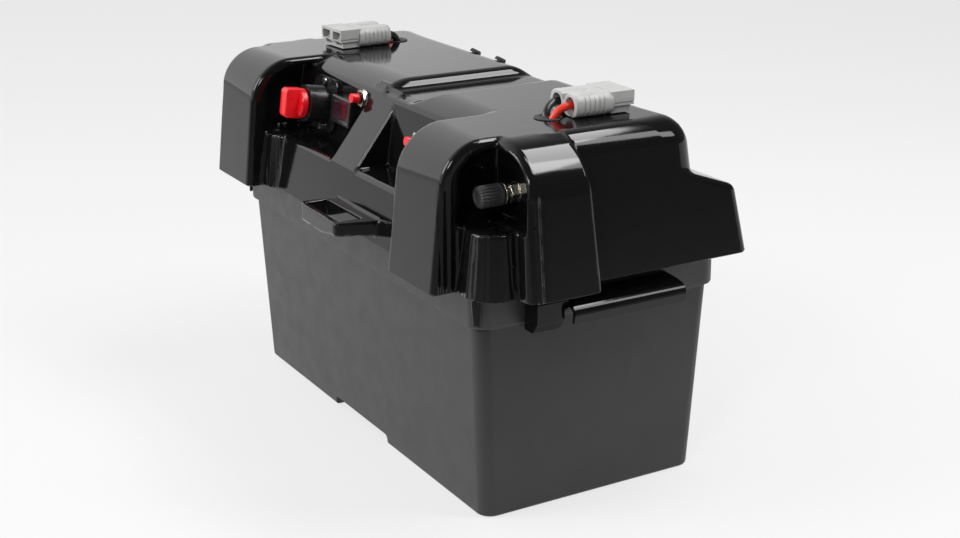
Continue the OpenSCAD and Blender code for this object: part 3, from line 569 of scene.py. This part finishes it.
def rib(x, y, z):
    """Sloping rib that parts the front recess."""
    slope = right_of(y, z, (-73, 260), (-104.5, LEDGE_Z))
    f = meet(meet(slope, x - 20.5, 2.5), -22 - x, 2.5)
    return np.maximum(np.maximum(f, y + 60), np.maximum(front_plane(y, z), 205 - z))


def saddle(x, z):
    """Shallow channel for the strap across the top."""
    left = right_of(x, z, (-6, TOP_Z), (0, SADDLE_Z))
    right = right_of(x, z, (42, SADDLE_Z), (50, TOP_Z))
    return meet(meet(left, SADDLE_Z - z, 4), meet(right, SADDLE_Z - z, 4), 1)


def strap_loop(x, y, z):
    """Loop at the front, drawn in plan, with a slot for the strap."""
    plan = ((1, -108), (-7.5, -127), (-5, -139), (61, -142), (70, -110))
    f = right_of(x, y, plan[0], plan[1])
    for start, end, r in zip(plan[1:], plan[2:], (6, 4, 4)):
        f = meet(f, right_of(x, y, start, end), r)
    f = np.maximum(f, y + 104)
    slot = np.maximum(np.abs(x - 28) - 29, np.abs(y + 127) - 8.5)
    f = meet(f, -slot, 1)
    arch = 180 + 3.5 * np.exp(-((x - 58) / 16) ** 2) - z
    return meet(meet(f, z - 194, 1), arch, 1.5)


def lid_outside(x, y, z):
    """The lid's whole form, as if it were solid."""
    xa = np.abs(x)
    up = meet(upper_stage(xa, y, z), -saddle(x, z), 4)
    f = np.maximum(join(lower_stage(xa, y, z), up, 3), end_plane(xa, z))
    f = np.maximum(join(f, rib(x, y, z), 2.5), front_plane(y, z))
    f = join(f, apron(xa, y, z, (202, -93), 22.3, 17.3, 222, 11), 2)
    f = join(f, apron(xa, y, z, (123, -95), 24.5, 18, 220, 8), 2)
    towers = join(front_tower(xa, y, z), end_tower(xa, y, z), 1.5)
    towers = meet(towers, -outer_niche(xa, y, z), 3)
    towers = meet(towers, -inner_niche(xa, y, z), 3)
    f = join(meet(f, -outer_niche(xa, y, z), 2), towers, 3)
    return np.maximum(f, z - TOP_Z)


def rounded_plan(x, y, length, width, r):
    """Distance to an upright form whose plan is a rounded rectangle."""
    dx = np.maximum(np.abs(x) - length / 2 + r, 0)
    dy = np.maximum(np.abs(y) - width / 2 + r, 0)
    return np.hypot(dx, dy) - r


def lid_field(x, y, z):
    """The lid as a moulding: a wall, the ledge that rests on the rim, and the strap loop."""
    whole = lid_outside(x, y, z)
    inside = whole + SHOWN_WALL
    seat = np.maximum(np.abs(z - RIM_Z - 1.8) - 1.5, whole + 1.5)
    seat = np.maximum(seat, -rounded_plan(x, y, RIM_L - 24, RIM_W - 24, 14))
    shell = join(np.maximum(whole, -inside), seat, 1)
    loop = np.maximum(strap_loop(x, y, z), -(whole + 1.5))
    shell = join(shell, loop, 1.5)
    return meet(shell, SKIRT_Z - z, 0.8)


def field_normal(p, e=0.05):
    """Value and gradient of the lid's field at points p."""
    x, y, z = p[:, 0], p[:, 1], p[:, 2]
    v = lid_field(x, y, z)
    g = np.stack([
        lid_field(x + e, y, z) - lid_field(x - e, y, z),
        lid_field(x, y + e, z) - lid_field(x, y - e, z),
        lid_field(x, y, z + e) - lid_field(x, y, z - e)], axis=1) / (2 * e)
    return v, g


CORNERS = [(i, j, k) for i in (0, 1) for j in (0, 1) for k in (0, 1)]


def crossing_cells(f, axes):
    """Points where the surface f = 0 runs through the grid's cells, and each cell's index."""
    n = [len(a) - 1 for a in axes]
    inside = f < 0
    count = sum(inside[i:i + n[0], j:j + n[1], k:k + n[2]].astype(np.int8) for i, j, k in CORNERS)
    active = (count > 0) & (count < 8)
    cells = np.argwhere(active)
    index = np.full(active.shape, -1, np.int64)
    index[active] = np.arange(len(cells))
    value = np.stack([f[cells[:, 0] + i, cells[:, 1] + j, cells[:, 2] + k] for i, j, k in CORNERS], axis=1)
    total = np.zeros((len(cells), 3))
    hits = np.zeros(len(cells))
    for a, first in enumerate(CORNERS):
        for b, second in enumerate(CORNERS):
            if b <= a or sum(abs(p - q) for p, q in zip(first, second)) != 1:
                continue
            cross = (value[:, a] < 0) != (value[:, b] < 0)
            t = np.where(cross, value[:, a] / np.where(cross, value[:, a] - value[:, b], 1), 0)
            point = np.array(first) + t[:, None] * (np.array(second) - np.array(first))
            total += np.where(cross[:, None], point, 0)
            hits += cross
    step = np.array([a[1] - a[0] for a in axes])
    low = np.array([a[0] for a in axes])
    return low + (cells + total / hits[:, None]) * step, index, inside


def surface_net(f, axes):
    """Points and quads of the surface where the sampled field f is 0."""
    points, index, inside = crossing_cells(f, axes)
    quads = []
    for axis in range(3):
        u, w = [(1, 2), (2, 0), (0, 1)][axis]
        low, high = [slice(None)] * 3, [slice(None)] * 3
        low[axis], high[axis] = slice(0, -1), slice(1, None)
        edges = np.argwhere(inside[tuple(low)] != inside[tuple(high)])
        outward = inside[tuple(low)][tuple(edges.T)]
        ring = []
        for du, dw in ((-1, -1), (0, -1), (0, 0), (-1, 0)):
            cell = edges.copy()
            cell[:, u] += du
            cell[:, w] += dw
            ring.append(index[tuple(cell.T)])
        quad = np.stack(ring, axis=1)
        quad[~outward] = quad[~outward][:, ::-1]
        quads.append(quad)
    return points, np.concatenate(quads)


def evened(points, quads):
    """Points moved halfway to the middle of the quads round them."""
    middles = points[quads].mean(axis=1)
    total, times = np.zeros_like(points), np.zeros(len(points))
    for k in range(4):
        np.add.at(total, quads[:, k], middles)
        np.add.at(times, quads[:, k], 1)
    return (points + total / times[:, None]) / 2


def lid_surface(h):
    """The lid's surface at a grid of h, with its true normals."""
    axes = [np.arange(low, high + 0.1, h) for low, high in ROOM]
    x, y, z = np.meshgrid(*axes, indexing="ij", sparse=True)
    f = lid_field(*np.broadcast_arrays(x, y, z))
    points, quads = surface_net(f, axes)
    # Each pass moves the points onto the form; the first ones also even out their spacing
    passes, evening = 8, 3
    for turn in range(passes):
        if turn < evening:
            points = evened(points, quads)
        v, g = field_normal(points)
        size = np.maximum((g ** 2).sum(axis=1), 0.2)
        points = points + np.clip(-(v / size)[:, None] * g, -h / 2, h / 2)
    v, g = field_normal(points)
    return points, quads, g / np.linalg.norm(g, axis=1)[:, None]


def lid():
    """The lid's shell, as one mesh that carries its own normals."""
    points, quads, normals = lid_surface(GRID)
    mesh = bpy.data.meshes.new("lid_shell")
    metres = points / 1000 + np.array((0, SHIFT, 0))
    mesh.vertices.add(len(points))
    mesh.vertices.foreach_set("co", metres.astype(np.float32).ravel())
    mesh.loops.add(len(quads) * 4)
    mesh.loops.foreach_set("vertex_index", quads.astype(np.int32).ravel())
    mesh.polygons.add(len(quads))
    mesh.polygons.foreach_set("loop_start", np.arange(0, len(quads) * 4, 4, dtype=np.int32))
    mesh.update(calc_edges=True)
    mesh.validate()
    mesh.shade_smooth()
    mesh.normals_split_custom_set_from_vertices(normals.tolist())
    mesh.materials.append(LID)
    piece = add("lid_shell", mesh)
    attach(piece, "lid")
    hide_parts("lid")


lid()


def tongue(sign):
    """Tapered tongue that hangs from the lid outside a front corner of the rim band."""
    gap, half_t = 1, 1.5
    # Rings from the top down: half width, height and half thickness
    sections = ((5, RIM_Z + 2, half_t), (4.2, 172, half_t), (3.2, 158, 1.3), (2.6, 151, 1.0))
    rings = [round_rect(2 * w, 2 * t, min(w, t) * 0.9, z, 3) for w, z, t in sections[::-1]]
    corner = shift(sign * (RIM_L / 2 - TUB_CORNER), -RIM_W / 2 + TUB_CORNER, 0)
    place = corner @ spin(180 + sign * 45, "Z") @ shift(0, BAND_CORNER + gap + half_t, 0)
    name = "lid_tongue_right" if sign > 0 else "lid_tongue_left"
    make(name, loft(rings), LID, "lid", place)


tongue(-1)
tongue(1)

# ---------- tub ----------


CORNER_STEPS = 12


def tub_ring(inset, z):
    """Ring of the tub's tapered wall, drawn in by inset."""
    t = max(0, z - BASE_ROUND) / (RIM_Z - BASE_ROUND)
    length = TUB_L + (RIM_L - TUB_L) * t - 2 * inset
    width = TUB_W + (RIM_W - TUB_W) * t - 2 * inset
    return round_rect(length, width, max(TUB_CORNER - inset * 0.5, 6), z, CORNER_STEPS)


def tub_outside():
    """Rings from the rounded base up to the rim band."""
    rings = []
    for k in range(7):
        a = math.radians(15 * k)
        rings.append(tub_ring(BASE_ROUND * (1 - math.sin(a)), BASE_ROUND * (1 - math.cos(a))))
    for z in np.linspace(20, BAND_Z - 2, 9):
        rings.append(tub_ring(0, z))
    # Below the band the wall has come this far towards the rim's size, and from there it steps out
    share = 0.79
    foot_l, foot_w = TUB_L + (RIM_L - TUB_L) * share, TUB_W + (RIM_W - TUB_W) * share
    for out, rise in ((0, -0.8), (0.35, 0), (1.6, 0.4), (2.6, 1), (3, 2.4)):
        length = foot_l + (BAND_L - foot_l) * out / 3
        width = foot_w + (BAND_W - foot_w) * out / 3
        rings.append(round_rect(length, width, TUB_CORNER + 1, BAND_Z + rise, CORNER_STEPS))
    return rings


def tub_rim():
    """Rings over the rim's edge, from the band's outside to the wall's inside."""
    sections = (
        (BAND_L, BAND_W, BAND_CORNER, RIM_Z - 1),
        (BAND_L - 1.6, BAND_W - 1.6, BAND_CORNER - 0.8, RIM_Z),
        (RIM_L - 5.4, RIM_W - 5.4, TUB_CORNER - 2.7, RIM_Z),
        (RIM_L - 6, RIM_W - 6, TUB_CORNER - 3, RIM_Z - 1),
    )
    return [round_rect(*section, CORNER_STEPS) for section in sections]


def tub_inside():
    """Rings from the rim down to the rounded edge of the floor."""
    bend = 6
    rings = [tub_ring(TUB_WALL, z) for z in np.linspace(RIM_Z - 5, TUB_FLOOR + bend, 6)]
    for k in range(1, 5):
        a = math.radians(22.5 * k)
        inset = TUB_WALL + bend * (1 - math.cos(a))
        rings.append(tub_ring(inset, TUB_FLOOR + bend * (1 - math.sin(a))))
    return rings


def strap_channel():
    """The channel across the base, open below."""
    half, r = CHANNEL_W / 2, 3.5
    outline = [(-half, -2), (half, -2), (half, CHANNEL_H - r)]
    for a in (30, 60, 90):
        c, s = math.cos(math.radians(a)), math.sin(math.radians(a))
        outline.append((half - r + r * c, CHANNEL_H - r + r * s))
    outline += [(-p[0], p[1]) for p in outline[:1:-1]]
    return loft([[(CHANNEL_X + x, y, z) for x, z in outline] for y in (-TUB_W, TUB_W)])


def tub():
    """The tub, with its floor raised over the strap channel."""
    rings = tub_outside() + tub_rim() + tub_inside()
    piece = make("tub_shell", loft(rings), TUB, "box")
    half, lift, reach = CHANNEL_W / 2 + TUB_WALL, CHANNEL_H + TUB_WALL, TUB_W / 2 - 4
    hump = block(CHANNEL_X - half, CHANNEL_X + half, -reach, reach, TUB_FLOOR - 1, lift)
    carve(piece, [cutter(hump)], "UNION")
    carve(piece, [cutter(strap_channel())])
    shade(piece.data, 24)
    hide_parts("tub")


tub()
dress("carry_grip_right", GRIP, 0.9, 3)
dress("carry_grip_left", GRIP, 0.9, 3)

# ---------- isolator ----------

ISOLATOR, HUB_FRONT = on_panel(-92, 26), 21.3
dress("isolator_body", BLACK, 0.6, 3)
dress("isolator_screws", STEEL, 0.35)
dress("isolator_studs", COPPER, 0.4)
dress("isolator_stud_nuts", STEEL, 0.4)


def isolator_key():
    """Round foot with a flat grip on it, and the spindle behind."""
    foot = turned_form([(10.9, 0), (11.6, 0.8), (11.6, 5.2), (11, 6.2), (8.6, 6.8)])
    outline, middle = round_rect(23.4, 17.5, 3.6, 0), 9.25
    grip = []
    for x, inset in ((-5.6, 1.1), (-5.3, 0.4), (-4.6, 0), (4.6, 0), (5.3, 0.4), (5.6, 1.1)):
        long, high = 1 - inset / 12, 1 - inset / 9
        grip.append([(x, y * long, middle + z * high) for y, z, _ in outline])
    spindle = turned_form([(4.5, -26), (4.5, 1)])
    part = together(foot, loft(grip), spindle)
    piece = make("key", part, RED, "key", ISOLATOR @ shift(0, 0, HUB_FRONT))
    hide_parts("isolator_key")


isolator_key()

# ---------- voltmeter ----------

METER = on_panel(-53, 27)


def voltmeter_bezel():
    """Frame round the window, with a swollen lower lip."""
    outer = ((34, 22, 1.5, 0), (34, 22, 1.5, 6.6), (33.4, 21.4, 1.4, 7.6), (32.2, 20.2, 1.2, 8))
    inner = ((27, 16, 1, 8), (26.2, 15.2, 0.8, 7.6), (26.2, 15.2, 0.8, 2.4))
    behind = ((30.6, 18.6, 0.8, 2.4), (30.6, 18.6, 0.8, 0))
    rim = loft([round_rect(*ring) for ring in outer + inner + behind], closed=True)
    angles = np.linspace(0, 2 * math.pi, 20, endpoint=False)
    lip = []
    for x in np.linspace(-16.4, 16.4, 25):
        thin = math.sqrt(max(0.02, 1 - (abs(x) / 16.6) ** 6))
        lip.append([(x, -8.6 + 2.3 * math.cos(a), 6.2 + 3.1 * thin * math.sin(a)) for a in angles])
    piece = make("meter_bezel", together(rim, loft(lip)), BLACK, "lid", METER, 40)
    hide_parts("voltmeter_bezel")


voltmeter_bezel()
dress("voltmeter_body", BLACK, 0.5)
dress("voltmeter_lens", LENS, 0.4)

# ---------- breakers, plugs, terminals ----------

for word in ("left", "right"):
    dress("breaker_body_" + word, BLACK, 0.4)
    dress("breaker_nut_" + word, NICKEL, 0.4)
    dress("reset_button_" + word, RED, 0.7, 3)
    dress("terminal_stud_" + word, NICKEL, 0.5)
    dress("terminal_washers_" + word, NICKEL, 0.25)
    dress("terminal_nut_" + word, NICKEL, 0.5)
    dress("terminal_backnut_" + word, NICKEL, 0.5)
    dress("lead_grommet_" + word, RUBBER, 0.4)
    dress("contacts_" + word, CONTACT, 0.3)
dress("rear_plugs", RUBBER, 0.3)


def knob(name, node, side, material, body):
    """Hand nut with flutes round it and a dished front."""
    def ring(radius, z, flute, steps=200):
        points = []
        for k in range(steps):
            a = 2 * math.pi * k / steps
            r = radius - flute * (0.5 + 0.5 * math.cos(FLUTES * a)) ** 1.5
            points.append((r * math.cos(a), r * math.sin(a), z))
        return points

    r, bore, tip = KNOB_D / 2, STUD_D / 2 + 0.05, KNOB_L
    # Rings from inside the bore to the dish: radius, height and depth of the flutes
    inside = ((bore, tip - 5, 0), (bore, 0, 0))
    foot = ((r - 0.9, 0, 0), (r, 0.9, 0), (r, 2.2, 0), (r, 3, 0.75))
    grip = ((r, 6, 0.8), (r, 9, 0.8), (r, 12, 0.8), (r - 0.1, tip - 2, 0.8))
    edge = ((r - 0.6, tip - 1, 0.75), (r - 1.3, tip - 0.3, 0.5), (r - 2.2, tip, 0))
    dish = ((r - 3.4, tip, 0), (r - 4, tip - 0.7, 0), (1, tip - 0.7, 0))
    part = loft([ring(*sizes) for sizes in inside + foot + grip + edge + dish])
    place = on_niche(side) @ shift(0, 0, STUD_GAP)
    piece = make(name, part, material, body, place, 40)
    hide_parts(node)


knob("knob_right", "terminal_knob_black", 1, KNOB_BLACK, "knob_black")
knob("knob_left", "terminal_knob_red", -1, RED, "knob_red")

# ---------- connectors ----------


# Ribs of the housing: the first one's place behind the joint of the halves, pitch, gap and number
RIB_START, RIB_PITCH, RIB_GAP, RIBS = 3.5, 3.9, 1.6, 6


def connector_section(y):
    """Outline of the ribbed half at a place along it, as points of X and Z."""
    back = y - (CONN_L / 2 - CONN_REAR)
    ribbed = RIB_START < back < CONN_REAR - 2 and (back - RIB_START) % RIB_PITCH > RIB_GAP
    w, h, r = CONN_W / 2 + (0.45 if ribbed else -0.2), CONN_H, 6.4
    notch = 3.2 * min(1, max(0, (back - 9) / 6))

    def flank(sign, first, last):
        points = []
        for a in np.linspace(first, last, 15):
            c, s = math.cos(math.radians(a)), math.sin(math.radians(a))
            rise = math.copysign(h / 2 - r, s) if abs(s) > 1e-6 else 0
            points.append((sign * (w - r) + r * c, h / 2 + rise + r * s))
        return points

    row = np.linspace(w - r - 1, -(w - r - 1), 23)
    dip = [notch * math.exp(-(x / 3) ** 2) for x in row]
    top = [(x, h - depth) for x, depth in zip(row, dip)]
    bottom = [(x, 0.6 * depth) for x, depth in zip(row, dip)]
    return flank(1, -90, 90) + top + flank(-1, 90, 270) + bottom[::-1]


def connector():
    """Two-pole housing: ribbed half with two cable entries, and a hooded mating half."""
    start, end, mid = CONN_L / 2 - CONN_REAR, CONN_L / 2, CONN_H / 2
    stations = [start, start + 0.01]
    for k in range(RIBS):
        y = start + RIB_START + RIB_PITCH * k
        stations += [y + 0.01, y + RIB_GAP - 0.05, y + RIB_GAP + 0.25, y + RIB_PITCH - 0.2]
    rings = [[(x, y, z) for x, z in connector_section(y)] for y in sorted(stations) if y < end - 0.9]
    tip = connector_section(end)
    for y, wide, high in ((end - 0.8, 1, 1), (end - 0.2, 0.985, 0.97), (end, 0.965, 0.93)):
        rings.append([(x * wide, y, mid + (z - mid) * high) for x, z in tip])
    piece = make("housing", loft(rings), GREY, None)
    step, over = CONN_H * 0.36, CONN_H + 1
    hood = block(-16.7, 16.7, -end, start + 1, step, CONN_H)
    foot = block(-15.1, 15.1, -end + 2.5, start + 1, 0.6, step + 1)
    carve(piece, [cutter(part) for part in (hood, foot)], "UNION")
    # A slot between the entries, a line across the top and a groove along each side
    cuts = [block(-2.3, 2.3, end - 6, end + 1, CONN_H - 6, over)]
    cuts.append(block(-7, 7, start + 0.6, start + 1.2, CONN_H - 0.5, over))
    for x in (-17, 17):
        cuts.append(block(x - 1.1, x + 1.1, -CONN_L, start - 1.5, 6.6, 8.2))
    holes = [cutter(part) for part in cuts]
    # Each pole: its cable entry, and the open mating end with a lower slot
    bore = ENTRY_D / 2
    entry = turned_form([(bore - 0.5, 0), (bore - 0.5, end - 3), (bore, end - 0.8), (bore, CONN_L)], 40)
    for pole in (-POLE_PITCH / 2, POLE_PITCH / 2):
        axis = shift(pole, 0, mid)
        holes.append(cutter(entry, axis @ spin(-90, "X")))
        holes.append(cutter(block(-6, 6, -CONN_L, 0, -1, 5.8), axis))
        holes.append(cutter(block(-5, 5, -CONN_L, -CONN_L * 0.38, -5.4, -1.8), axis))
    carve(piece, holes)
    shade(piece.data, 30)
    return piece


def housing(word, middle, degrees, pattern):
    """A copy of the pattern housing, at its place on the lid."""
    mesh = pattern.data.copy()
    mesh.transform(Matrix.Translation(at(*middle)) @ spin(degrees, "Z") @ shift(0, -SHIFT, 0))
    piece = add("housing_" + word, mesh)
    soften(piece, 0.35, 2, 35)
    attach(piece, "lid")
    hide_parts("connector_" + word)
    return piece


pattern = connector()
places = (("right", CONN_RIGHT, TURN_RIGHT), ("left", CONN_LEFT, TURN_LEFT))
housings = [housing(*place, pattern) for place in places]
bpy.data.objects.remove(pattern)

# ---------- floor and light, in metres ----------

# Strength of the pale floor as reflections see it, and as the camera sees it
PALE, PALE_SEEN = 0.885, 0.93

# Share of the floor's look that is its own glow, and so takes no shadow
GLOW_SHARE = 0.72

# Directions in plan: towards the camera, and away from the bright side of the studio
TO_CAMERA, TO_DARK = (0.861, -0.508, 0), (0.86, 0.5, 0)


def math_node(tree, operation, first, second):
    """An operation on an output and a second output or a number."""
    node = tree.nodes.new("ShaderNodeMath")
    node.operation = operation
    tree.links.new(first, node.inputs[0])
    if isinstance(second, float):
        node.inputs[1].default_value = second
    else:
        tree.links.new(second, node.inputs[1])
    return node.outputs["Value"]


def fading(tree, place, way, start, end, near, far):
    """Smooth change from near to far, between two distances along a direction."""
    reach = tree.nodes.new("ShaderNodeVectorMath")
    reach.operation = "DOT_PRODUCT"
    reach.inputs[1].default_value = way
    tree.links.new(place, reach.inputs[0])
    ramp = tree.nodes.new("ShaderNodeMapRange")
    ramp.interpolation_type = "SMOOTHSTEP"
    sockets = ("From Min", "From Max", "To Min", "To Max")
    for socket, value in zip(sockets, (start, end, near, far)):
        ramp.inputs[socket].default_value = value
    tree.links.new(reach.outputs["Value"], ramp.inputs["Value"])
    return ramp.outputs["Result"]


def floor():
    """Pale floor that keeps the object's shadow; reflections see it fade in front of the picture."""
    half = 20
    corners = [(-half, -half, 0), (half, -half, 0), (half, half, 0), (-half, half, 0)]
    mesh = bpy.data.meshes.new("floor")
    mesh.from_pydata(corners, [], [(0, 1, 2, 3)])
    add("floor", mesh)
    material = bpy.data.materials.new("floor")
    material.use_nodes = True
    tree = material.node_tree
    shader = tree.nodes["Principled BSDF"]
    shader.inputs["Base Color"].default_value = (0.8, 0.8, 0.8, 1)
    shader.inputs["Roughness"].default_value = 0.7
    place = tree.nodes.new("ShaderNodeTexCoord").outputs["Object"]
    fade = fading(tree, place, TO_CAMERA, 0.27, 0.52, PALE, 0.06)
    path = tree.nodes.new("ShaderNodeLightPath").outputs
    seen = math_node(tree, "MULTIPLY", path["Is Camera Ray"], PALE_SEEN)
    glow = tree.nodes.new("ShaderNodeEmission")
    tree.links.new(math_node(tree, "MAXIMUM", fade, seen), glow.inputs["Strength"])
    shown = math_node(tree, "MAXIMUM", path["Is Camera Ray"], path["Is Glossy Ray"])
    shown = math_node(tree, "MAXIMUM", shown, path["Is Transmission Ray"])
    mix = tree.nodes.new("ShaderNodeMixShader")
    tree.links.new(math_node(tree, "MULTIPLY", shown, GLOW_SHARE), mix.inputs["Fac"])
    tree.links.new(shader.outputs["BSDF"], mix.inputs[1])
    tree.links.new(glow.outputs["Emission"], mix.inputs[2])
    tree.links.new(mix.outputs["Shader"], tree.nodes["Material Output"].inputs["Surface"])
    mesh.materials.append(material)


def surroundings():
    """Studio that is bright on the left and dark on the right and behind."""
    world = bpy.data.worlds.new("world")
    bpy.context.scene.world = world
    world.use_nodes = True
    tree = world.node_tree
    way = tree.nodes.new("ShaderNodeTexCoord").outputs["Generated"]
    studio = fading(tree, way, TO_DARK, -1.0, 0.15, 1.5, 0.1)
    camera_ray = tree.nodes.new("ShaderNodeLightPath").outputs["Is Camera Ray"]
    seen = math_node(tree, "MULTIPLY", camera_ray, 0.9)
    background = tree.nodes["Background"]
    tree.links.new(math_node(tree, "MAXIMUM", studio, seen), background.inputs["Strength"])
    background.inputs["Color"].default_value = (1, 1, 1, 1)


def softbox(name, place, target, size, power, size_y=None):
    """Square or oblong lamp aimed at a target, with its power in watts."""
    data = bpy.data.lights.new(name, "AREA")
    data.energy = power
    data.size = size
    if size_y:
        data.shape = "RECTANGLE"
        data.size_y = size_y
    lamp = add(name, data)
    lamp.location = place
    lamp.rotation_euler = (Vector(target) - Vector(place)).to_track_quat("-Z", "Y").to_euler()


floor()
surroundings()
softbox("front", (-0.5, -1.7, 1.3), (0, 0, 0.15), 0.9, 20)
softbox("top", (0.5, 0.7, 1.5), (0.5, 0, 0.2), 1.3, 13, 0.3)
softbox("back", (0.78, 0.76, 1.45), (0.1, 0, 0.2), 0.3, 9, 1.5)
softbox("side", (1.15, -1.3, 1.3), (0, 0, 0.2), 0.45, 9)
bpy.context.scene.view_settings.view_transform = "Standard"
